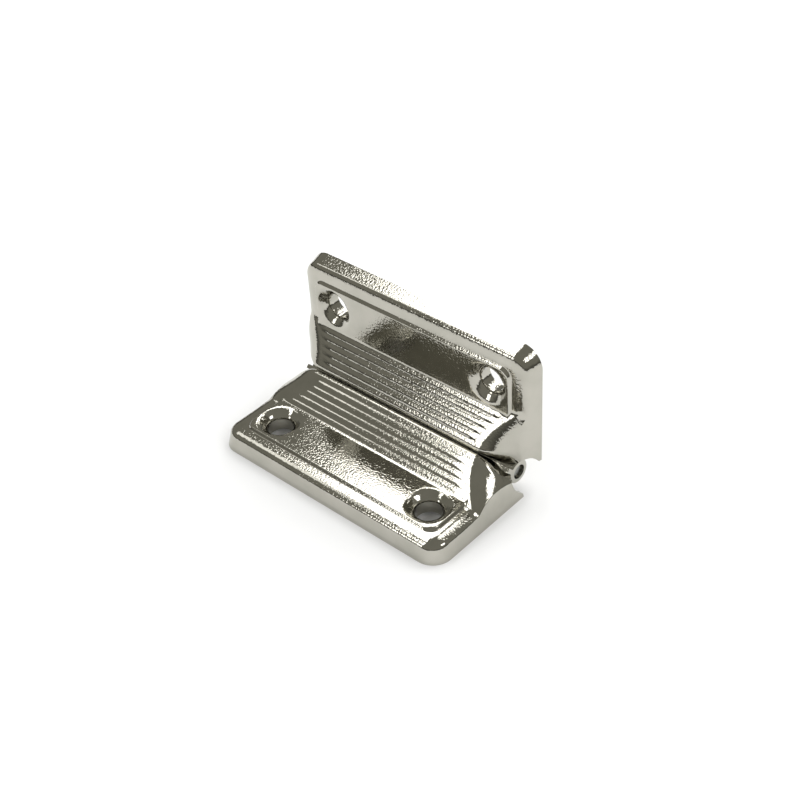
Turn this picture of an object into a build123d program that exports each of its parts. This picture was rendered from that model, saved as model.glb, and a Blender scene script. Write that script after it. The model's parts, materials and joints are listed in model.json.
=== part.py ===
"""Case hinge with a right-angle stop: two pressed sheet leaves that turn on one pin.

Each leaf is described by v, the distance from the pin axis along its mounting plane, and w, the
height above that plane. The lower leaf lies on the ground with v along -Y and w along +Z. The upper
leaf stands at the stop and is the lower one's mirror image in the 45 degree plane through the pin.
"""
import os
from math import cos, radians, sqrt, tan

from build123d import *

# Leaf outline
LENGTH = 42.0  # along the pin, at the mounting plane
REACH = 19.6  # pin axis to the outer edge
REAR_EDGE = 1.0  # pin axis to the rear edge of the end walls
CORNER_RADIUS = 3.1  # outer corners, seen from above
DRAFT = 15.0  # degrees that the walls lean in
SHEET = 0.7  # pressed steel

# Ledge and raised panel
LEDGE_HEIGHT = 2.95
RIM_RADIUS = 1.6
PANEL_HEIGHT = 3.4
PANEL_SIDE_INSET = 3.0
PANEL_FRONT_INSET = 2.8
PANEL_CORNER_RADIUS = 1.6
PANEL_EDGE_RADIUS = 0.25

# Ridge beside the pin; its rear face is the stop
PIN_HEIGHT = 3.0
RIDGE_FOOT = 9.4  # pin axis to where the ridge rises out of the panel
RIDGE_HEIGHT = 7.0  # where the front slope and the rear face would meet
CREST_RADIUS = 0.8
RIDGE_END_HEIGHT = 3.4  # end walls under the ridge
CREST_END_INSET = 5.8  # base of the end wall to the end of the crest
RIDGE_END_BULGE = 0.6
STOP_GAP = 0.06  # each rear face to the 45 degree plane

# Ribs along the ridge's front slope
RIB_COUNT = 5
RIB_PITCH = 1.03
RIB_RISE = 0.09
RIB_FOOT_INSET = 2.8  # base of the end wall to the end of the lowest rib
RIB_CREST_INSET = 5.6  # base of the end wall to the end of the highest rib

# Dished screw holes
SCREW_SPACING = 28.7
SCREW_REACH = 13.2  # pin axis to the holes
SCREW_HOLE_RADIUS = 1.95
DISH_RADIUS = 3.15
DISH_DEPTH = 0.85
COLLAR_BOTTOM = 0.4  # above the mounting plane

# Pin and knuckles
PIN_RADIUS = 1.1
PIN_END_CHAMFER = 0.3
PIN_RECESS = 0.4  # inside the barrel at each end
GRIP_CLEARANCE = 0.01  # pin held in the lower leaf's knuckles
RUNNING_CLEARANCE = 0.05  # pin in the upper leaf's knuckles
KNUCKLE_WALL = 0.75
KNUCKLE_COUNT = 5
KNUCKLE_GAP = 0.15
BARREL_INSET = 1.6  # base of the end wall to the barrel's end
BARREL_CLEARANCE = 0.25
END_NOTCH_CLEARANCE = 0.7

HALF_LENGTH = LENGTH / 2
PIN_Y = (REACH - PIN_HEIGHT) / 2  # centres the hinge's box on the origin
BARREL_RADIUS = PIN_RADIUS + GRIP_CLEARANCE + KNUCKLE_WALL
BARREL_LENGTH = LENGTH - 2 * BARREL_INSET
KNUCKLE_STEP = (BARREL_LENGTH + KNUCKLE_GAP) / KNUCKLE_COUNT
OPEN_BACK = -PIN_HEIGHT / 2  # the hollow runs out past the pin
STOP_PLANE = Plane(origin=(0, PIN_Y, PIN_HEIGHT), z_dir=(0, 1, 1))
PIN_PLANE = Plane((0, PIN_Y, PIN_HEIGHT), x_dir=(0, 1, 0), z_dir=(1, 0, 0))


def at(v, w):
    """A leaf point as Y and Z of the lower leaf."""
    return (PIN_Y - v, w)


def ridge_lines(inset):
    """Apex of the ridge and unit direction down its front slope, moved into the metal by inset."""
    apex = Vector(RIDGE_HEIGHT - PIN_HEIGHT + STOP_GAP * sqrt(2), RIDGE_HEIGHT)
    down_slope = (Vector(RIDGE_FOOT, PANEL_HEIGHT) - apex).normalized()
    slope_normal = Vector(-down_slope.Y, down_slope.X)
    rear_normal = Vector(-1, 1).normalized()
    corner = (slope_normal + rear_normal) / (1 + slope_normal.dot(rear_normal))
    return apex - corner * inset, down_slope, slope_normal


def ridge_block(inset, rear):
    """Ridge as a solid block whose ends curve down to the end walls; only the outer crest is rounded."""
    apex, down_slope, _ = ridge_lines(inset)
    foot = apex + down_slope * (apex.Y / -down_slope.Y)
    with BuildPart() as ridge:
        with BuildSketch(Plane.YZ) as section:
            with BuildLine():
                Polyline(
                    at(foot.X, 0),
                    at(apex.X, apex.Y),
                    at(rear, apex.Y - apex.X + rear),
                    at(rear, 0),
                    close=True,
                )
            make_face()
            if inset == 0:
                fillet(section.vertices().sort_by(Axis.Y)[-1], CREST_RADIUS)
        extrude(amount=HALF_LENGTH, both=True)
        with BuildSketch(Plane.XZ):
            with BuildLine():
                base_x = HALF_LENGTH - inset / cos(radians(DRAFT))
                end_z = RIDGE_END_HEIGHT - inset
                end_x = base_x - end_z * tan(radians(DRAFT))
                crest_x = base_x - CREST_END_INSET
                top_z = RIDGE_HEIGHT - inset
                bulge = Vector(top_z - end_z, end_x - crest_x).normalized() * RIDGE_END_BULGE
                middle = Vector((end_x + crest_x) / 2, (end_z + top_z) / 2) + bulge
                Polyline((-end_x, end_z), (-base_x, 0), (base_x, 0), (end_x, end_z))
                ThreePointArc((end_x, end_z), (middle.X, middle.Y), (crest_x, top_z))
                Line((crest_x, top_z), (-crest_x, top_z))
                ThreePointArc((-crest_x, top_z), (-middle.X, middle.Y), (-end_x, end_z))
            make_face()
        extrude(amount=2 * REACH, both=True, mode=Mode.INTERSECT)
    return ridge.part


def plan_block(half_length, front, rear, height, corner, edge_radius, inset, draft=0.0):
    """Flat block, moved in by inset, with its outer corners rounded and its walls leaning in.

    Its top edge is rounded too, or chamfered near that radius on the inside of the sheet.
    """
    wall_inset = inset / cos(radians(draft))
    with BuildPart() as block:
        with BuildSketch(Plane.XY) as plan:
            with Locations((0, PIN_Y - (front - wall_inset + rear) / 2)):
                Rectangle(2 * (half_length - wall_inset), front - wall_inset - rear)
            fillet(plan.vertices().group_by(Axis.Y)[0], corner - wall_inset)
        extrude(amount=height - inset, taper=draft)
        top_edges = block.faces().sort_by(Axis.Z)[-1].edges().sort_by(Axis.Y)[:-1]
        if inset == 0:
            fillet(top_edges, edge_radius)
        else:
            chamfer(top_edges, edge_radius / 2)
    return block.part


def leaf_form(inset, rear):
    """Solid inside the leaf's surface moved in by inset, without ribs or holes."""
    ledge = plan_block(HALF_LENGTH, REACH, rear, LEDGE_HEIGHT, CORNER_RADIUS, RIM_RADIUS, inset, DRAFT)
    panel = plan_block(
        HALF_LENGTH - PANEL_SIDE_INSET,
        REACH - PANEL_FRONT_INSET,
        rear,
        PANEL_HEIGHT,
        PANEL_CORNER_RADIUS,
        PANEL_EDGE_RADIUS,
        inset,
    )
    with BuildPart() as form:
        add(ledge)
        add(panel)
        add(ridge_block(inset, rear))
    return form.part


def ribs():
    """Rounded bars, sunk in the front slope, that stand proud of it by RIB_RISE."""
    apex, down_slope, slope_normal = ridge_lines(0)
    bar_radius = (RIB_PITCH**2 / 4 + RIB_RISE**2) / (2 * RIB_RISE)
    slope_length = (RIDGE_FOOT - apex.X) / down_slope.X
    with BuildPart() as bars:
        for number in range(RIB_COUNT):
            along = slope_length - (number + 0.5) * RIB_PITCH
            centre = apex + down_slope * along + slope_normal * (RIB_RISE - bar_radius)
            share = number / (RIB_COUNT - 1)
            end_inset = RIB_FOOT_INSET + share * (RIB_CREST_INSET - RIB_FOOT_INSET)
            with BuildSketch(Plane.YZ) as section:
                with Locations(at(centre.X, centre.Y)):
                    Circle(bar_radius)
                trim_centre = apex + down_slope * along - slope_normal * SHEET / 2
                trim_angle = -slope_normal.get_signed_angle(Vector(0, 1))
                with Locations(at(trim_centre.X, trim_centre.Y)):
                    Rectangle(
                        RIB_PITCH,
                        SHEET + 2 * RIB_RISE,
                        rotation=trim_angle,
                        mode=Mode.INTERSECT,
                    )
            extrude(amount=HALF_LENGTH - end_inset, both=True)
    return bars.part


def screw_dish(is_hollow):
    """Dish and collar of a screw hole, turned about Z: the metal, or the hollow to cut from it."""
    cone_bottom = PANEL_HEIGHT - DISH_DEPTH
    with BuildPart() as dish:
        with BuildSketch(Plane.XZ):
            with BuildLine():
                if is_hollow:
                    Polyline(
                        (0, 0),
                        (SCREW_HOLE_RADIUS, 0),
                        (SCREW_HOLE_RADIUS, cone_bottom),
                        (DISH_RADIUS, PANEL_HEIGHT),
                        (0, PANEL_HEIGHT),
                        close=True,
                    )
                else:
                    Polyline(
                        (0, COLLAR_BOTTOM),
                        (SCREW_HOLE_RADIUS + SHEET, COLLAR_BOTTOM),
                        (SCREW_HOLE_RADIUS + SHEET, cone_bottom),
                        (DISH_RADIUS + SHEET, PANEL_HEIGHT - SHEET / 2),
                        (0, PANEL_HEIGHT - SHEET / 2),
                        close=True,
                    )
            make_face()
        revolve(axis=Axis.Z)
    return dish.part


def knuckles(numbers, bore_radius):
    """Rolled knuckles, each with the web that joins it to the rear face of its leaf."""
    along = Vector(1, 1).normalized()
    inward = Vector(1, -1).normalized()
    pin = Vector(0, PIN_HEIGHT)
    web_reach = BARREL_RADIUS + BARREL_CLEARANCE + SHEET
    web = [
        pin + inward * STOP_GAP,
        pin + inward * STOP_GAP + along * web_reach,
        pin + inward * (STOP_GAP + SHEET) + along * web_reach,
        pin + inward * (STOP_GAP + SHEET),
    ]
    width = KNUCKLE_STEP - KNUCKLE_GAP
    with BuildPart() as barrel:
        for number in numbers:
            middle = (number - (KNUCKLE_COUNT - 1) / 2) * KNUCKLE_STEP
            with BuildSketch(Plane.YZ.offset(middle)):
                with Locations(at(0, PIN_HEIGHT)):
                    Circle(BARREL_RADIUS)
                with BuildLine():
                    Polyline(*[at(point.X, point.Y) for point in web], close=True)
                make_face()
                with Locations(at(0, PIN_HEIGHT)):
                    Circle(bore_radius, mode=Mode.SUBTRACT)
            extrude(amount=width / 2, both=True)
    return barrel.part


def leaf_shell():
    """A leaf in the lower leaf's place, cut clear of the barrel, without knuckles."""
    holes = [(x, PIN_Y - SCREW_REACH) for x in (-SCREW_SPACING / 2, SCREW_SPACING / 2)]
    outside = leaf_form(0, REAR_EDGE)
    hollow = leaf_form(SHEET, OPEN_BACK)
    rib_bars = ribs()
    dish_metal = screw_dish(is_hollow=False)
    dish_hollow = screw_dish(is_hollow=True)
    with BuildPart() as shell:
        add(outside)
        add(rib_bars)
        add(hollow, mode=Mode.SUBTRACT)
        with Locations(*holes):
            add(dish_metal)
            add(dish_hollow, mode=Mode.SUBTRACT)
        with BuildSketch(PIN_PLANE):
            Circle(BARREL_RADIUS + BARREL_CLEARANCE)
        extrude(amount=HALF_LENGTH, both=True, mode=Mode.SUBTRACT)
        for side in (-1, 1):
            with BuildSketch(PIN_PLANE.offset(side * (BARREL_LENGTH / 2 + KNUCKLE_GAP))):
                Circle(BARREL_RADIUS + END_NOTCH_CLEARANCE)
            extrude(amount=side * BARREL_INSET, mode=Mode.SUBTRACT)
    return shell.part


os.makedirs("parts", exist_ok=True)
shell = leaf_shell()

with BuildPart() as lower_leaf:
    add(shell)
    add(knuckles(range(0, KNUCKLE_COUNT, 2), PIN_RADIUS + GRIP_CLEARANCE))
lower_leaf.part.label = "lower_leaf"
export_step(lower_leaf.part, "parts/lower_leaf.step")

with BuildPart() as upper_leaf:
    add(shell)
    add(knuckles(range(1, KNUCKLE_COUNT, 2), PIN_RADIUS + RUNNING_CLEARANCE))
    mirror(about=STOP_PLANE, mode=Mode.REPLACE)
upper_leaf.part.label = "upper_leaf"
export_step(upper_leaf.part, "parts/upper_leaf.step")

with BuildPart() as hinge_pin:
    with BuildSketch(PIN_PLANE):
        Circle(PIN_RADIUS)
    extrude(amount=BARREL_LENGTH / 2 - PIN_RECESS, both=True)
    chamfer(hinge_pin.edges().filter_by(GeomType.CIRCLE), PIN_END_CHAMFER)
hinge_pin.part.label = "hinge_pin"
export_step(hinge_pin.part, "parts/hinge_pin.step")
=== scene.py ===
"""Looks of the case hinge: two pressed, nickel-plated leaves on a steel pin, on a pale floor.

Each leaf is one sheet. Its outer and inner surfaces are the same grid, worked out twice, and joined
along the sheet's edges. As in the solids, v is the distance from the pin axis along the leaf's
mounting plane and w is the height above that plane. Leaf sizes are in millimetres.
"""
import json
from math import cos, pi, radians, sin, sqrt, tan

import bmesh
import bpy
import numpy as np
from mathutils import Matrix, Vector


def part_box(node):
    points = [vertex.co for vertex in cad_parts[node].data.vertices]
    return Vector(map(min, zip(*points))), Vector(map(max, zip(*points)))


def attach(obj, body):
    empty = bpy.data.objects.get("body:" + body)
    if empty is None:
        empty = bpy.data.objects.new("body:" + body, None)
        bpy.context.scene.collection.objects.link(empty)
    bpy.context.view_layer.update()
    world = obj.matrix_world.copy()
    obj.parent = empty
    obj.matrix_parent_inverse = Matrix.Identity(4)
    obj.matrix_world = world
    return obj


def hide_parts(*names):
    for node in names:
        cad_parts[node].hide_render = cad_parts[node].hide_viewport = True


MM = 0.001

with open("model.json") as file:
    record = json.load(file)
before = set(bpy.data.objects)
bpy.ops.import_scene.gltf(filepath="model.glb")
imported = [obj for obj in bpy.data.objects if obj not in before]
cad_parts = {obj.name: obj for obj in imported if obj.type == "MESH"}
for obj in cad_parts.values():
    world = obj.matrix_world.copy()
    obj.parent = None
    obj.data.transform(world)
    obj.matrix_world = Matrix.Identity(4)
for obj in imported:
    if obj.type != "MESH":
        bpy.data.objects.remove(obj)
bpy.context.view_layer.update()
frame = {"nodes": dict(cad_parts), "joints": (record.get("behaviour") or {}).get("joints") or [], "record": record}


def mount(name):
    """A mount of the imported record, by name."""
    return next(entry for entry in frame["record"]["mounts"] if entry["name"] == name)


# Sizes read from the frame
screws = mount("lower_screws")
leaf_low, leaf_high = (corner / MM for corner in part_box("lower_leaf"))
pin_low, pin_high = (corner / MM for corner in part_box("hinge_pin"))
PIN_Y, PIN_HEIGHT = (value / MM for value in frame["joints"][0]["pos_m"][1:])
HALF_LENGTH = leaf_high.x
REACH = PIN_Y - leaf_low.y
SCREW_X = screws["dims"]["spacing_x_mm"] / 2
SCREW_REACH = PIN_Y - screws["pos_m"][1] / MM
COLLAR_BOTTOM = screws["pos_m"][2] / MM
HOLE_RADIUS = screws["dims"]["hole_r_mm"]
PIN_RADIUS = (pin_high.z - pin_low.z) / 2
BARREL_RADIUS = leaf_high.y - PIN_Y

# Sheet, ledge and raised panel
SHEET = 0.7
DRAFT = radians(15.0)
CORNER_RADIUS = 3.1
LEDGE_HEIGHT = 2.95
SHOULDER_INSET = 2.6
SHOULDER_RADIUS = 3.7
RIM_RADIUS = 0.95
REAR_EDGE = 1.0
PANEL_HEIGHT = 3.4
PANEL_SIDE_INSET = 3.0
PANEL_FRONT_INSET = 2.8
PANEL_CORNER_RADIUS = 1.6
PANEL_STEP_WIDTH = 0.4

# Ridge; its ends fall from a curved hip line to an arch along each end wall
RIDGE_FOOT = 9.4
RIDGE_HEIGHT = 7.0
STOP_GAP = 0.06
CREST_BLEND = 0.95
FOOT_BLEND = 0.3
CREST_END_INSET = 5.8
HIP_CURVE = 0.115
HIP_MARGIN = 0.5
ARCH_HEIGHT = 3.65
ARCH_TOP = 6.0
ARCH_FALL_REAR = 0.03
ARCH_FALL_FRONT = 0.07
END_FALL_POWER = 1.8
END_RADIUS = 0.3
END_RADIUS_RANGE = (9.4, 12.6)
INNER_RADIUS = 0.05

# Ribs
RIB_COUNT = 5
RIB_PITCH = 1.03
RIB_RISE = 0.09
RIB_END_LENGTH = 2.6

# Dished screw holes
DISH_RADIUS = 3.15
DISH_DEPTH = 0.85
LIP_BLEND = 0.22
COLLAR_BEND = 0.4
COLLAR_BEND_STEPS = 6
COLLAR_SHARES = (0.3, 0.7, 0.95, 1.0)

# Knuckles
BARREL_INSET = 1.6
BARREL_CLEARANCE = 0.25
END_NOTCH_CLEARANCE = 0.7
KNUCKLE_COUNT = 5
KNUCKLE_GAP = 0.15
KNUCKLE_EDGE_RADIUS = 0.3
KNUCKLE_EDGE_STEPS = 4
KNUCKLE_SEGMENTS = 72
GRIP_CLEARANCE = 0.01
RUNNING_CLEARANCE = 0.05
WEB_SKIN = 0.02
WEB_OVERLAP = 0.35
SHARP_ANGLE = radians(40)

APEX_V = RIDGE_HEIGHT - PIN_HEIGHT + STOP_GAP * sqrt(2)
SLOPE_GRADE = (RIDGE_HEIGHT - PANEL_HEIGHT) / (RIDGE_FOOT - APEX_V)
END_X = HALF_LENGTH - ARCH_HEIGHT * tan(DRAFT)
DISH_GRADE = DISH_DEPTH / (DISH_RADIUS - HOLE_RADIUS)
BARREL_HALF = HALF_LENGTH - BARREL_INSET

# Grid of the sheet's surfaces
CORNER_X = HALF_LENGTH - CORNER_RADIUS
CORNER_V = REACH - CORNER_RADIUS
HOLE_RING = 2.4
HOLE_SQUARE = 3.3
GRID_STEP = 0.08
MIDDLE_STEP = 0.6
NEAR_HOLE_STEP = 0.18
HOLE_STEP = 0.16
SIDE_STEP = 0.1
REAR_STEP = 0.17
RIB_STEP = 0.085
PANEL_STEP = 0.13
HOLE_MARGIN = 0.2
FOOT_MARGIN = 0.3
RIB_ROWS_START = 3.5
ROUND_STEPS = 10
WALL_SHARES = (0.05, 0.16, 0.27, 0.38, 0.49, 0.6, 0.71, 0.82, 0.93, 0.985, 1.0)
GRID_REAR = 1.55
REAR_WARP_END = 6.0
SIDE_WARP_START = 16.9
SIDE_SOLVE_ROUNDS = 30
REAR_SOLVE_ROUNDS = 40
SLOPE_PROBE = 0.01
TINY = 1e-9


def ease(share):
    """Smooth step from 0 to 1."""
    share = np.clip(share, 0, 1)
    return share * share * (3 - 2 * share)


def smooth_min(a, b, reach):
    """Lower of two heights, rounded off where they are within reach of each other."""
    near = np.clip(1 - np.abs(a - b) / reach, 0, 1)
    return np.minimum(a, b) - near * near * reach / 4


def smooth_max(a, b, reach):
    return -smooth_min(-a, -b, reach)


def outline_distance(x, v, side_inset, front_inset, corner):
    """Distance outside a leaf outline with rounded outer corners; below zero inside it."""
    past_x = np.abs(x) - (HALF_LENGTH - side_inset - corner)
    past_v = v - (REACH - front_inset - corner)
    outside = np.hypot(np.maximum(past_x, 0), np.maximum(past_v, 0))
    return outside + np.minimum(np.maximum(past_x, past_v), 0) - corner


def panel_height(x, v, inset):
    """Ledge, curving down towards the rim, with the raised panel on it."""
    past_shoulder = np.maximum(outline_distance(x, v, 0, 0, CORNER_RADIUS) + SHOULDER_INSET, 0)
    past_panel = outline_distance(x, v, PANEL_SIDE_INSET, PANEL_FRONT_INSET, PANEL_CORNER_RADIUS) + inset
    rise = (PANEL_HEIGHT - LEDGE_HEIGHT) * ease(0.5 - past_panel / PANEL_STEP_WIDTH)
    return LEDGE_HEIGHT - inset + rise - past_shoulder**2 / (2 * SHOULDER_RADIUS)


def hip_line(v):
    """x where the ridge's front slope ends and its end starts to fall."""
    return np.minimum(HALF_LENGTH - CREST_END_INSET + HIP_CURVE * (v - APEX_V) ** 2, END_X - HIP_MARGIN)


def rib_height(x, v):
    """Rounded ribs across the ridge's front slope, which fade out towards the hip line."""
    along = (RIDGE_FOOT - v) * sqrt(1 + SLOPE_GRADE**2) / RIB_PITCH
    offset = along - np.clip(np.floor(along), 0, RIB_COUNT - 1) - 0.5
    arc = np.maximum(1 - 4 * offset**2, 0)
    return RIB_RISE * arc * ease((hip_line(v) - np.abs(x)) / RIB_END_LENGTH)


def ridge_height(x, v, inset):
    """Ridge with its ribs, its 45 degree rear face, and ends that fall to an arch at the end walls."""
    slope = PANEL_HEIGHT + (RIDGE_FOOT - v) * SLOPE_GRADE + rib_height(x, v)
    slope = slope - inset * sqrt(1 + SLOPE_GRADE**2)
    rear = PIN_HEIGHT + v - (STOP_GAP + inset) * sqrt(2)
    section = smooth_min(slope, rear, CREST_BLEND)
    arch_fall = np.where(v > ARCH_TOP, ARCH_FALL_FRONT, ARCH_FALL_REAR)
    arch = ARCH_HEIGHT - inset - arch_fall * (v - ARCH_TOP) ** 2
    past_hip = np.maximum(np.abs(x) + inset - hip_line(v), 0)
    fall = (past_hip / (END_X - hip_line(v))) ** END_FALL_POWER
    return section - (section - arch) * fall


def dish_height(x, v, inset):
    """Cone of the nearest screw hole's dish, carried on upwards outside it."""
    radius = np.hypot(np.abs(x) - SCREW_X, v - SCREW_REACH)
    return PANEL_HEIGHT + (radius - DISH_RADIUS) * DISH_GRADE - inset * sqrt(1 + DISH_GRADE**2)


def leaf_height(x, v, inset):
    """Height of the leaf's top surface, moved into the metal by inset."""
    top = smooth_max(panel_height(x, v, inset), ridge_height(x, v, inset), FOOT_BLEND)
    return smooth_min(top, dish_height(x, v, inset), LIP_BLEND)


def side_radius(v):
    """Rounding between the top and an end wall: wide beside the panel, tight along the ridge."""
    low, high = END_RADIUS_RANGE
    return END_RADIUS + (RIM_RADIUS - END_RADIUS) * ease((v - low) / (high - low))


def side_edge(v, inset):
    """Where the top starts to round over into an end wall: x, slope there, and the rounding's radius."""
    radius = np.maximum(side_radius(v) - inset, INNER_RADIUS)
    base = HALF_LENGTH - inset / cos(DRAFT)
    x = np.full_like(v, HALF_LENGTH - 2 * RIM_RADIUS)
    for _ in range(SIDE_SOLVE_ROUNDS):
        height = leaf_height(x, v, inset)
        slope = np.arctan((leaf_height(x - SLOPE_PROBE, v, inset) - height) / SLOPE_PROBE)
        out = radius * (cos(DRAFT) - np.sin(slope))
        drop = radius * (np.cos(slope) - sin(DRAFT))
        x = (x + base - (height - drop) * tan(DRAFT) - out) / 2
    return x, slope, radius


def over_the_rim(top, slope, radius, extra):
    """Height, and reach outwards, of the points that round over the rim and run down the wall."""
    turn = slope + (pi / 2 - DRAFT - slope) * np.minimum(extra / ROUND_STEPS, 1)
    wall = np.concatenate([[0] * (ROUND_STEPS + 1), WALL_SHARES])[extra]
    height = top - radius * (np.cos(slope) - np.cos(turn))
    out = radius * (np.sin(turn) - np.sin(slope)) + height * wall * tan(DRAFT)
    return height * (1 - wall), out


def spaced(*stops):
    """Values from the first stop to the last; each stop is a place and the step from there on."""
    values = [stops[0][0]]
    for (start, step), (end, _) in zip(stops, stops[1:]):
        count = max(1, round((end - start) / step))
        values.extend(np.linspace(start, end, count + 1)[1:])
    return np.array(values)


def rim_inset(inset):
    """Base of a ledge's wall to the start of its rounding, in plan, and the ledge's slope there."""
    x, slope, _ = side_edge(np.array([CORNER_V]), inset)
    return HALF_LENGTH - x[0], slope[0]


RIM_X = HALF_LENGTH - rim_inset(0)[0]
RIM_V = REACH - rim_inset(0)[0]
half_columns = spaced(
    (0, MIDDLE_STEP),
    (SCREW_X - HOLE_SQUARE - HOLE_MARGIN, NEAR_HOLE_STEP),
    (SCREW_X - HOLE_RING, HOLE_STEP),
    (SCREW_X + HOLE_RING, SIDE_STEP),
    (CORNER_X, GRID_STEP),
    (RIM_X, 0),
)
flat_rows = spaced(
    (GRID_REAR, REAR_STEP),
    (RIB_ROWS_START, RIB_STEP),
    (RIDGE_FOOT + FOOT_MARGIN, PANEL_STEP),
    (SCREW_REACH - HOLE_RING, HOLE_STEP),
    (SCREW_REACH + HOLE_RING, PANEL_STEP),
    (CORNER_V, GRID_STEP),
    (RIM_V, 0),
)
EXTRA = ROUND_STEPS + len(WALL_SHARES)
column_x = np.concatenate(
    [np.full(EXTRA, -RIM_X), -half_columns[:0:-1], half_columns, np.full(EXTRA, RIM_X)]
)
column_extra = np.concatenate(
    [np.arange(EXTRA, 0, -1), np.zeros(2 * len(half_columns) - 1, int), np.arange(1, EXTRA + 1)]
)
row_v = np.concatenate([flat_rows, np.full(EXTRA, RIM_V)])
row_extra = np.concatenate([np.zeros(len(flat_rows), int), np.arange(1, EXTRA + 1)])


def round_off_holes(x, v, inset):
    """Grid points near a screw hole, moved so that the hole's square ring becomes a circle."""
    p = x - SCREW_X
    q = v - SCREW_REACH
    ring = np.maximum(np.maximum(np.abs(p), np.abs(q)), TINY)
    is_sideways = np.abs(p) >= np.abs(q)
    steep = np.where(is_sideways, p, q)
    flat = np.where(is_sideways, q, p)
    angle = pi / 4 * flat / np.where(steep == 0, 1, steep)
    radius = np.sign(steep) * (ring + inset)
    circle_p = radius * np.where(is_sideways, np.cos(angle), np.sin(angle))
    circle_q = radius * np.where(is_sideways, np.sin(angle), np.cos(angle))
    share = ease((ring - HOLE_RING) / (HOLE_SQUARE - HOLE_RING))
    return (
        SCREW_X + circle_p + (p - circle_p) * share,
        SCREW_REACH + circle_q + (q - circle_q) * share,
    )


def rear_limit(x, radius, inset):
    """v where the top surface meets the clearance circle round the pin."""
    v = np.full_like(x, GRID_REAR)
    for _ in range(REAR_SOLVE_ROUNDS):
        rise = np.clip(leaf_height(x, v, inset) - PIN_HEIGHT, -radius, radius)
        v = (v + np.sqrt(np.maximum(radius**2 - rise**2, REAR_EDGE**2))) / 2
    return v


def leaf_surface(inset):
    """One side of the sheet as a grid of (x, v, w), rows from the pin outwards."""
    x, v = np.meshgrid(np.abs(column_x), row_v)
    extra_x, extra_v = np.meshgrid(column_extra, row_extra)
    is_flat = (extra_x == 0) & (extra_v == 0)
    hole_x, hole_v = round_off_holes(x, v, inset)
    x = np.where(is_flat, hole_x, x)
    v = np.where(is_flat, hole_v, v)

    # Corners: square rings become arcs
    past_x = x - CORNER_X + extra_x * GRID_STEP
    past_v = v - CORNER_V + extra_v * GRID_STEP
    is_corner = (past_x > 0) & (past_v > 0)
    ring = np.maximum(np.maximum(past_x, past_v), TINY)
    rim, rim_slope = rim_inset(inset)
    shrink = (CORNER_RADIUS - rim) / (RIM_X - CORNER_X)
    flat_ring = np.minimum(ring, RIM_X - CORNER_X) * shrink
    angle = np.where(past_x >= past_v, past_v / ring, 2 - past_x / ring) * pi / 4
    extra = np.where(is_corner, np.where(past_x >= past_v, extra_x, extra_v), np.maximum(extra_x, extra_v))
    out_x = np.where(is_corner, np.cos(angle), np.where(extra_x > 0, 1, 0))
    out_v = np.where(is_corner, np.sin(angle), np.where(extra_v > 0, 1, 0))
    x = np.where(is_corner, CORNER_X + flat_ring * out_x, x)
    straight_v = np.where(v > CORNER_V, CORNER_V + (v - CORNER_V) * shrink, v)
    v = np.where(is_corner, CORNER_V + flat_ring * out_v, straight_v)

    # Rear edge, kept clear of the barrel
    notch = np.where(
        np.abs(column_x) > BARREL_HALF + KNUCKLE_GAP,
        BARREL_RADIUS + END_NOTCH_CLEARANCE,
        BARREL_RADIUS + BARREL_CLEARANCE,
    )
    notch = np.where(column_extra > 0, BARREL_RADIUS + END_NOTCH_CLEARANCE, notch)
    edge = side_edge(np.full(len(column_x), GRID_REAR), inset)
    top_x = np.where(column_extra > 0, edge[0], np.abs(column_x))
    rear = rear_limit(top_x, notch, inset)
    edge_w, _ = over_the_rim(leaf_height(top_x, rear, inset), *edge[1:], column_extra)
    circle_v = np.sqrt(np.maximum(notch**2 - (edge_w - PIN_HEIGHT) ** 2, REAR_EDGE**2))
    rear = np.where(column_extra > 0, circle_v, rear)[None, :]
    stretched = rear + (v - GRID_REAR) * (REAR_WARP_END - rear) / (REAR_WARP_END - GRID_REAR)
    v = np.where(v < REAR_WARP_END, stretched, v)

    # Sides, with their own rounding
    is_side = ~is_corner & (extra_v == 0)
    edge_x, edge_slope, edge_radius = side_edge(v, inset)
    share = (x - SIDE_WARP_START) / (RIM_X - SIDE_WARP_START)
    warped = SIDE_WARP_START + share * (edge_x - SIDE_WARP_START)
    x = np.where(is_side & (share > 0), warped, x)
    slope = np.where(is_side, edge_slope, rim_slope)
    radius = np.where(is_side, edge_radius, RIM_RADIUS - inset)

    # Rounding over the rim, then the wall down to the mounting plane
    w, out = over_the_rim(leaf_height(x, v, inset), slope, radius, extra)
    x = x + out * out_x
    v = v + out * out_v
    return np.stack([x * np.sign(column_x)[None, :], v, w], axis=-1)


def collar_rings(surface, ring, inset, centre_x):
    """Rings from the dish's edge round into the screw hole and down to the collar's end."""
    start = surface[ring[:, 0], ring[:, 1]]
    outwards = start[:, :2] - (centre_x, SCREW_REACH)
    outwards = outwards / np.linalg.norm(outwards, axis=1)[:, None]
    radius = HOLE_RADIUS + inset
    bend_top = PANEL_HEIGHT + (radius - DISH_RADIUS) * DISH_GRADE - inset * sqrt(1 + DISH_GRADE**2)
    rings = []
    for share in np.linspace(0, 1, COLLAR_BEND_STEPS + 1)[1:]:
        keep, middle, last = (1 - share) ** 2, 2 * share * (1 - share), share**2
        ring_radius = keep * (HOLE_RING + inset) + (middle + last) * radius
        height = keep * start[:, 2] + middle * bend_top + last * (bend_top - COLLAR_BEND)
        rings.append((ring_radius, height))
    for share in COLLAR_SHARES:
        height = bend_top - COLLAR_BEND + share * (COLLAR_BOTTOM - bend_top + COLLAR_BEND)
        rings.append((radius, np.full(len(start), height)))
    points = []
    for ring_radius, height in rings:
        plan = outwards * ring_radius + (centre_x, SCREW_REACH)
        points.append(np.column_stack([plan, height]))
    return points


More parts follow.
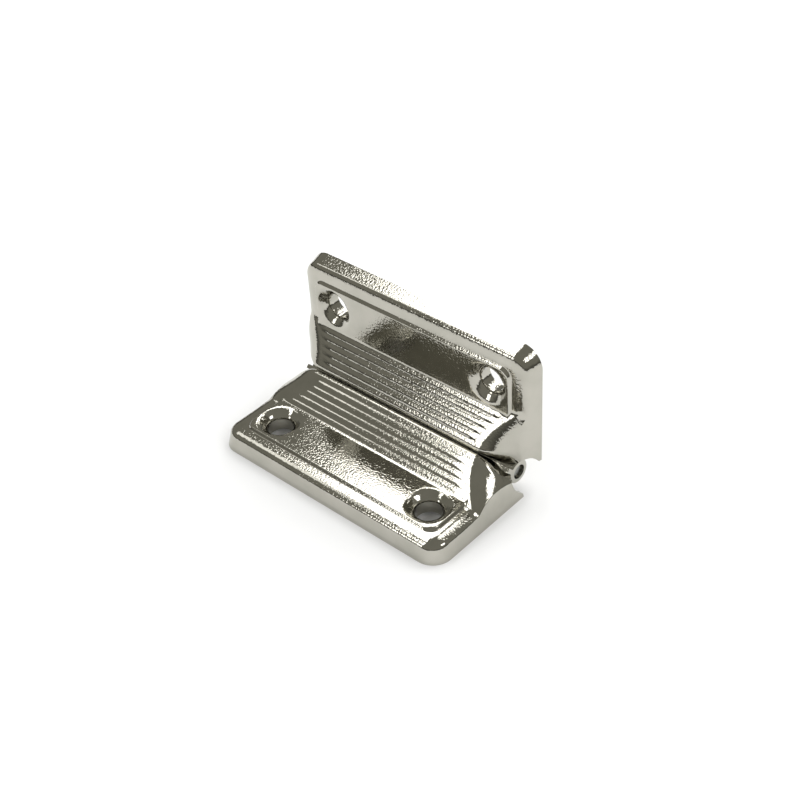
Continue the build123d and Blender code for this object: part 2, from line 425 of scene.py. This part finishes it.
def ring_around(low_row, high_row, low_column, high_column):
    """Row and column of each grid point on a rectangle's outline, in order."""
    ring = [(low_row, column) for column in range(low_column, high_column)]
    ring += [(row, high_column) for row in range(low_row, high_row)]
    ring += [(high_row, column) for column in range(high_column, low_column, -1)]
    ring += [(row, low_column) for row in range(high_row, low_row, -1)]
    return np.array(ring)


def nearest(values, value):
    return int(np.argmin(np.abs(values - value)))


def sheet_mesh():
    """Vertices (x, v, w) and faces of the closed sheet, with the collars of its two screw holes."""
    rows, columns = len(row_v), len(column_x)
    flat_columns = np.where(column_extra == 0, column_x, np.inf)
    flat_v = np.where(row_extra == 0, row_v, np.inf)
    low_row = nearest(flat_v, SCREW_REACH - HOLE_RING)
    high_row = nearest(flat_v, SCREW_REACH + HOLE_RING)
    holes = []
    for centre_x in (-SCREW_X, SCREW_X):
        low_column = nearest(flat_columns, centre_x - HOLE_RING)
        high_column = nearest(flat_columns, centre_x + HOLE_RING)
        holes.append((centre_x, low_column, high_column))

    is_hole = np.zeros((rows - 1, columns - 1), bool)
    for _, low_column, high_column in holes:
        is_hole[low_row:high_row, low_column:high_column] = True

    points, faces, edges = [], [], []
    for inset in (0, SHEET):
        first = len(points)
        surface = leaf_surface(inset)
        points.extend(map(tuple, surface.reshape(-1, 3)))

        def index(row, column, first=first):
            return first + row * columns + column

        quads = []
        for row, column in zip(*np.nonzero(~is_hole)):
            near, far = index(row, column), index(row + 1, column)
            quads.append((near, far, far + 1, near + 1))
        outline = [index(*place) for place in ring_around(0, rows - 1, 0, columns - 1)]
        side_edges = [outline[::-1]]
        for centre_x, low_column, high_column in holes:
            ring = ring_around(low_row, high_row, low_column, high_column)
            loop = [index(*place) for place in ring]
            for level in collar_rings(surface, ring, inset, centre_x):
                next_loop = list(range(len(points), len(points) + len(level)))
                points.extend(map(tuple, level))
                for here in range(len(loop)):
                    there = (here + 1) % len(loop)
                    quads.append((loop[here], loop[there], next_loop[there], next_loop[here]))
                loop = next_loop
            side_edges.append(loop)
        faces.extend(quads if inset == 0 else [quad[::-1] for quad in quads])
        edges.append(side_edges)

    for outer, inner in zip(*edges):
        for here in range(len(outer)):
            there = (here + 1) % len(outer)
            faces.append((outer[here], outer[there], inner[there], inner[here]))
    return points, faces


def to_lower(x, v, w):
    """A leaf point in the lower leaf's place, in metres."""
    return Vector((x, PIN_Y - v, w)) * MM


def to_upper(x, v, w):
    """A leaf point in the upper leaf's place: the lower leaf's mirror image in the stop plane."""
    return Vector((x, PIN_Y + PIN_HEIGHT - w, PIN_HEIGHT + v)) * MM


def new_object(name, points, faces, place, is_mirrored):
    """Mesh object from leaf points, with its faces turned outwards."""
    mesh = bpy.data.meshes.new(name)
    if is_mirrored:
        faces = [face[::-1] for face in faces]
    mesh.from_pydata([place(*point) for point in points], [], faces)
    builder = bmesh.new()
    builder.from_mesh(mesh)
    loose = [vertex for vertex in builder.verts if not vertex.link_faces]
    bmesh.ops.delete(builder, geom=loose, context="VERTS")
    builder.to_mesh(mesh)
    builder.free()
    made = bpy.data.objects.new(name, mesh)
    bpy.context.scene.collection.objects.link(made)
    return made


def knuckle_mesh(number, bore_radius):
    """Vertices and faces of one rolled knuckle with rounded ends, and its middle and half length."""
    step = (2 * BARREL_HALF + KNUCKLE_GAP) / KNUCKLE_COUNT
    middle = (number - (KNUCKLE_COUNT - 1) / 2) * step
    half = (step - KNUCKLE_GAP) / 2
    rounding = []
    for turn in np.linspace(0, pi / 2, KNUCKLE_EDGE_STEPS + 1):
        along = half - KNUCKLE_EDGE_RADIUS * (1 - sin(turn))
        rounding.append((along, BARREL_RADIUS - KNUCKLE_EDGE_RADIUS * (1 - cos(turn))))
    profile = [(-half, bore_radius)]
    profile += [(-along, radius) for along, radius in rounding[::-1]]
    profile += rounding + [(half, bore_radius)]
    segments = KNUCKLE_SEGMENTS
    points, faces = [], []
    for along, radius in profile:
        for segment in range(segments):
            angle = 2 * pi * segment / segments
            points.append((middle + along, radius * cos(angle), PIN_HEIGHT + radius * sin(angle)))
    for ring in range(len(profile)):
        next_ring = (ring + 1) % len(profile)
        for segment in range(segments):
            next_segment = (segment + 1) % segments
            faces.append(
                (
                    ring * segments + segment,
                    ring * segments + next_segment,
                    next_ring * segments + next_segment,
                    next_ring * segments + segment,
                )
            )
    return points, faces, middle, half


def web_mesh(middle, half):
    """Strip of sheet that joins a knuckle to its leaf's rear face."""
    near = BARREL_RADIUS - WEB_OVERLAP
    far = BARREL_RADIUS + BARREL_CLEARANCE + SHEET
    points = []
    for x in (middle - half + WEB_SKIN, middle + half - WEB_SKIN):
        for depth in (STOP_GAP + WEB_SKIN, STOP_GAP + SHEET - WEB_SKIN):
            for reach in (near, far):
                points.append((x, (reach + depth) / sqrt(2), PIN_HEIGHT + (reach - depth) / sqrt(2)))
    faces = [(0, 1, 3, 2), (4, 6, 7, 5), (0, 4, 5, 1), (2, 3, 7, 6), (0, 2, 6, 4), (1, 5, 7, 3)]
    return points, faces


def turn_outwards(piece):
    builder = bmesh.new()
    builder.from_mesh(piece.data)
    bmesh.ops.recalc_face_normals(builder, faces=builder.faces)
    builder.to_mesh(piece.data)
    builder.free()


def join_solids(piece, others):
    """Union of a piece with other closed meshes, which are used up."""
    for other in others:
        turn_outwards(other)
        union = piece.modifiers.new("union", "BOOLEAN")
        union.operation = "UNION"
        union.solver = "MANIFOLD"
        union.object = other
    bpy.context.view_layer.update()
    evaluated = piece.evaluated_get(bpy.context.evaluated_depsgraph_get())
    joined = bpy.data.meshes.new_from_object(evaluated)
    piece.modifiers.clear()
    piece.data = joined
    for other in others:
        bpy.data.objects.remove(other)


def leaf(name, place, is_mirrored, numbers, clearance):
    """A leaf: its sheet joined with its own knuckles."""
    points, faces = sheet_mesh()
    piece = new_object(name, points, faces, place, is_mirrored)
    turn_outwards(piece)
    others = []
    for number in numbers:
        points, faces, middle, half = knuckle_mesh(number, PIN_RADIUS + clearance)
        others.append(new_object(f"{name}_knuckle", points, faces, place, is_mirrored))
        points, faces = web_mesh(middle, half)
        others.append(new_object(f"{name}_web", points, faces, place, is_mirrored))
    join_solids(piece, others)
    piece.data.shade_smooth()
    piece.data.set_sharp_from_angle(angle=SHARP_ANGLE)
    return piece


def add_node(tree, kind, **values):
    """A shader node with its properties and input values set by name."""
    node = tree.nodes.new(kind)
    for key, value in values.items():
        if hasattr(node, key):
            setattr(node, key, value)
        else:
            node.inputs[key.replace("_", " ")].default_value = value
    return node


# Materials; noise scales are per metre
TINT_SCALE = 260.0
GLOSS_SCALE = 420.0
GRAIN_SCALE = 3600.0
MOTTLE_SCALE = 60.0


def plated_metal(name, dark, light, roughness, peel):
    """Bright plating: slight tint and gloss variation, and a fine orange-peel surface."""
    material = bpy.data.materials.new(name)
    material.use_nodes = True
    tree = material.node_tree
    shader = tree.nodes["Principled BSDF"]
    shader.inputs["Metallic"].default_value = 1.0
    coordinates = add_node(tree, "ShaderNodeTexCoord")
    clouds = add_node(tree, "ShaderNodeTexNoise", Scale=TINT_SCALE, Detail=3.0)
    tint = add_node(tree, "ShaderNodeValToRGB")
    tint.color_ramp.elements[0].position = 0.35
    tint.color_ramp.elements[0].color = (*dark, 1)
    tint.color_ramp.elements[1].position = 0.65
    tint.color_ramp.elements[1].color = (*light, 1)
    smears = add_node(tree, "ShaderNodeTexNoise", Scale=GLOSS_SCALE, Detail=4.0)
    gloss = add_node(tree, "ShaderNodeMapRange")
    gloss.inputs["From Min"].default_value = 0.3
    gloss.inputs["From Max"].default_value = 0.7
    gloss.inputs["To Min"].default_value = roughness[0]
    gloss.inputs["To Max"].default_value = roughness[1]
    grain = add_node(tree, "ShaderNodeTexNoise", Scale=GRAIN_SCALE, Detail=1.0)
    bump = add_node(tree, "ShaderNodeBump", Strength=1.0, Distance=peel)
    for texture in (clouds, smears, grain):
        tree.links.new(coordinates.outputs["Object"], texture.inputs["Vector"])
    tree.links.new(clouds.outputs["Fac"], tint.inputs["Fac"])
    tree.links.new(tint.outputs["Color"], shader.inputs["Base Color"])
    tree.links.new(smears.outputs["Fac"], gloss.inputs["Value"])
    tree.links.new(gloss.outputs["Result"], shader.inputs["Roughness"])
    tree.links.new(grain.outputs["Fac"], bump.inputs["Height"])
    tree.links.new(bump.outputs["Normal"], shader.inputs["Normal"])
    return material


def floor_paper():
    """Pale matt paper with a faint mottle."""
    material = bpy.data.materials.new("floor_paper")
    material.use_nodes = True
    tree = material.node_tree
    shader = tree.nodes["Principled BSDF"]
    shader.inputs["Roughness"].default_value = 0.9
    shader.inputs["Specular IOR Level"].default_value = 0.1
    coordinates = add_node(tree, "ShaderNodeTexCoord")
    mottle = add_node(tree, "ShaderNodeTexNoise", Scale=MOTTLE_SCALE, Detail=3.0)
    tint = add_node(tree, "ShaderNodeValToRGB")
    tint.color_ramp.elements[0].color = (0.90, 0.90, 0.89, 1)
    tint.color_ramp.elements[1].color = (0.93, 0.93, 0.92, 1)
    tree.links.new(coordinates.outputs["Object"], mottle.inputs["Vector"])
    tree.links.new(mottle.outputs["Fac"], tint.inputs["Fac"])
    tree.links.new(tint.outputs["Color"], shader.inputs["Base Color"])
    return material


# Camera
CAMERA_TARGET = Vector((-3.23, 9.01, 4.07)) * MM
CAMERA_DISTANCE = 0.2
CAMERA_AXES = ((0.7434, 0.6665, -0.0559), (-0.3848, 0.4945, 0.7793), (0.5471, -0.5579, 0.6241))
CAMERA_LENS = 61.33
SENSOR_WIDTH = 36.0
CLIP_START = 0.005


def set_camera():
    data = bpy.data.cameras.new("camera")
    data.lens = CAMERA_LENS
    data.sensor_width = SENSOR_WIDTH
    data.clip_start = CLIP_START
    camera = bpy.data.objects.new("camera", data)
    bpy.context.scene.collection.objects.link(camera)
    right, up, back = (Vector(axis).normalized() for axis in CAMERA_AXES)
    place = CAMERA_TARGET + back * CAMERA_DISTANCE
    camera.matrix_world = Matrix.Translation(place) @ Matrix((right, up, back)).transposed().to_4x4()
    bpy.context.scene.camera = camera


# Studio: brightness of the surroundings by the sine of the elevation, as the metal mirrors them and as
# they light the floor, and the softboxes
MIRRORED_BANDS = ((0.0, 0.10), (0.12, 0.13), (0.28, 0.27), (1.0, 0.27))
MIRRORED_TINT = (1.0, 0.98, 0.86)
ROOM_BANDS = ((0.0, 1.6), (0.64, 1.6), (0.70, 0.08), (1.0, 0.08))
ROOM_TINT = (1.0, 1.0, 1.0)
SOFTBOXES = (
    # name, left edge's front and back ends (azimuth and elevation in degrees), width in metres, brightness
    ("ceiling_left", (180.0, 56.3), (132.6, 37.8), 0.22, 4.0),
    ("left_fill", (192.0, 46.0), (177.0, 47.0), 0.18, 1.5),
    ("front_high", (227.2, 45.5), (190.2, 60.5), 0.15, 3.6),
    ("front_low", (239.0, 12.6), (234.3, 33.4), 0.14, 3.6),
    ("right", (18.0, 60.0), (46.5, 51.5), 0.32, 4.0),
    ("back", (115.0, 60.0), (115.0, 30.0), 0.8, 3.0),
)
FLOOR_SIZE = 3.0


def direction(azimuth, elevation):
    turn, rise = radians(azimuth), radians(elevation)
    return Vector((cos(rise) * cos(turn), cos(rise) * sin(turn), sin(rise)))


def add_softbox(name, front_end, back_end, width, brightness):
    """Rectangular light that faces the object, to the right of an edge a metre away."""
    front, back = direction(*front_end), direction(*back_end)
    along = (back - front).normalized()
    outward = (front + back).normalized()
    across = along.cross(outward)
    data = bpy.data.lights.new(name, "AREA")
    data.shape = "RECTANGLE"
    data.size = width
    data.size_y = (back - front).length
    data.energy = brightness * pi * data.size * data.size_y
    light = bpy.data.objects.new(name, data)
    bpy.context.scene.collection.objects.link(light)
    middle = (front + back) / 2 + across * (width / 2)
    turn = Matrix((across, along, outward)).transposed().to_4x4()
    light.matrix_world = Matrix.Translation(middle) @ turn


def set_studio():
    world = bpy.data.worlds.new("studio")
    bpy.context.scene.world = world
    world.use_nodes = True
    tree = world.node_tree
    background = tree.nodes["Background"]
    coordinates = add_node(tree, "ShaderNodeTexCoord")
    split = add_node(tree, "ShaderNodeSeparateXYZ")
    path = add_node(tree, "ShaderNodeLightPath")
    mix = add_node(tree, "ShaderNodeMixRGB")
    tree.links.new(coordinates.outputs["Generated"], split.inputs["Vector"])
    room = (ROOM_BANDS, ROOM_TINT, "Color1")
    mirrored = (MIRRORED_BANDS, MIRRORED_TINT, "Color2")
    for bands, tint, target in (room, mirrored):
        levels = add_node(tree, "ShaderNodeValToRGB")
        while len(levels.color_ramp.elements) < len(bands):
            levels.color_ramp.elements.new(0.5)
        for element, (position, level) in zip(levels.color_ramp.elements, bands):
            element.position = position
            element.color = (*[level * share for share in tint], 1)
        tree.links.new(split.outputs["Z"], levels.inputs["Fac"])
        tree.links.new(levels.outputs["Color"], mix.inputs[target])
    tree.links.new(path.outputs["Is Glossy Ray"], mix.inputs["Fac"])
    tree.links.new(mix.outputs["Color"], background.inputs["Color"])
    for softbox in SOFTBOXES:
        add_softbox(*softbox)

    mesh = bpy.data.meshes.new("floor")
    half = FLOOR_SIZE / 2
    corners = [(-half, -half, 0), (half, -half, 0), (half, half, 0), (-half, half, 0)]
    mesh.from_pydata(corners, [], [(0, 1, 2, 3)])
    mesh.materials.append(floor_paper())
    floor = bpy.data.objects.new("floor", mesh)
    bpy.context.scene.collection.objects.link(floor)


nickel = plated_metal(
    "nickel_plate", dark=(0.43, 0.42, 0.37), light=(0.48, 0.465, 0.415), roughness=(0.02, 0.04), peel=1.6e-5
)
# The pin's dark base colour is partly its own dark steel and partly painted shade: it is lowered so the pin's end
# looks shadowed.
steel_and_painted_shade = plated_metal(
    "pin_steel", dark=(0.20, 0.20, 0.19), light=(0.28, 0.28, 0.27), roughness=(0.16, 0.28), peel=2e-6
)

lower = leaf("lower_leaf_sheet", to_lower, False, range(0, KNUCKLE_COUNT, 2), GRIP_CLEARANCE)
upper = leaf("upper_leaf_sheet", to_upper, True, range(1, KNUCKLE_COUNT, 2), RUNNING_CLEARANCE)
for piece, body, node in ((lower, "lower", "lower_leaf"), (upper, "upper", "upper_leaf")):
    piece.data.materials.clear()
    piece.data.materials.append(nickel)
    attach(piece, body)
    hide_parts(node)
pin = frame["nodes"]["hinge_pin"]
pin.data.materials.clear()
pin.data.materials.append(steel_and_painted_shade)

set_camera()
set_studio()
bpy.context.scene.view_settings.view_transform = "Standard"
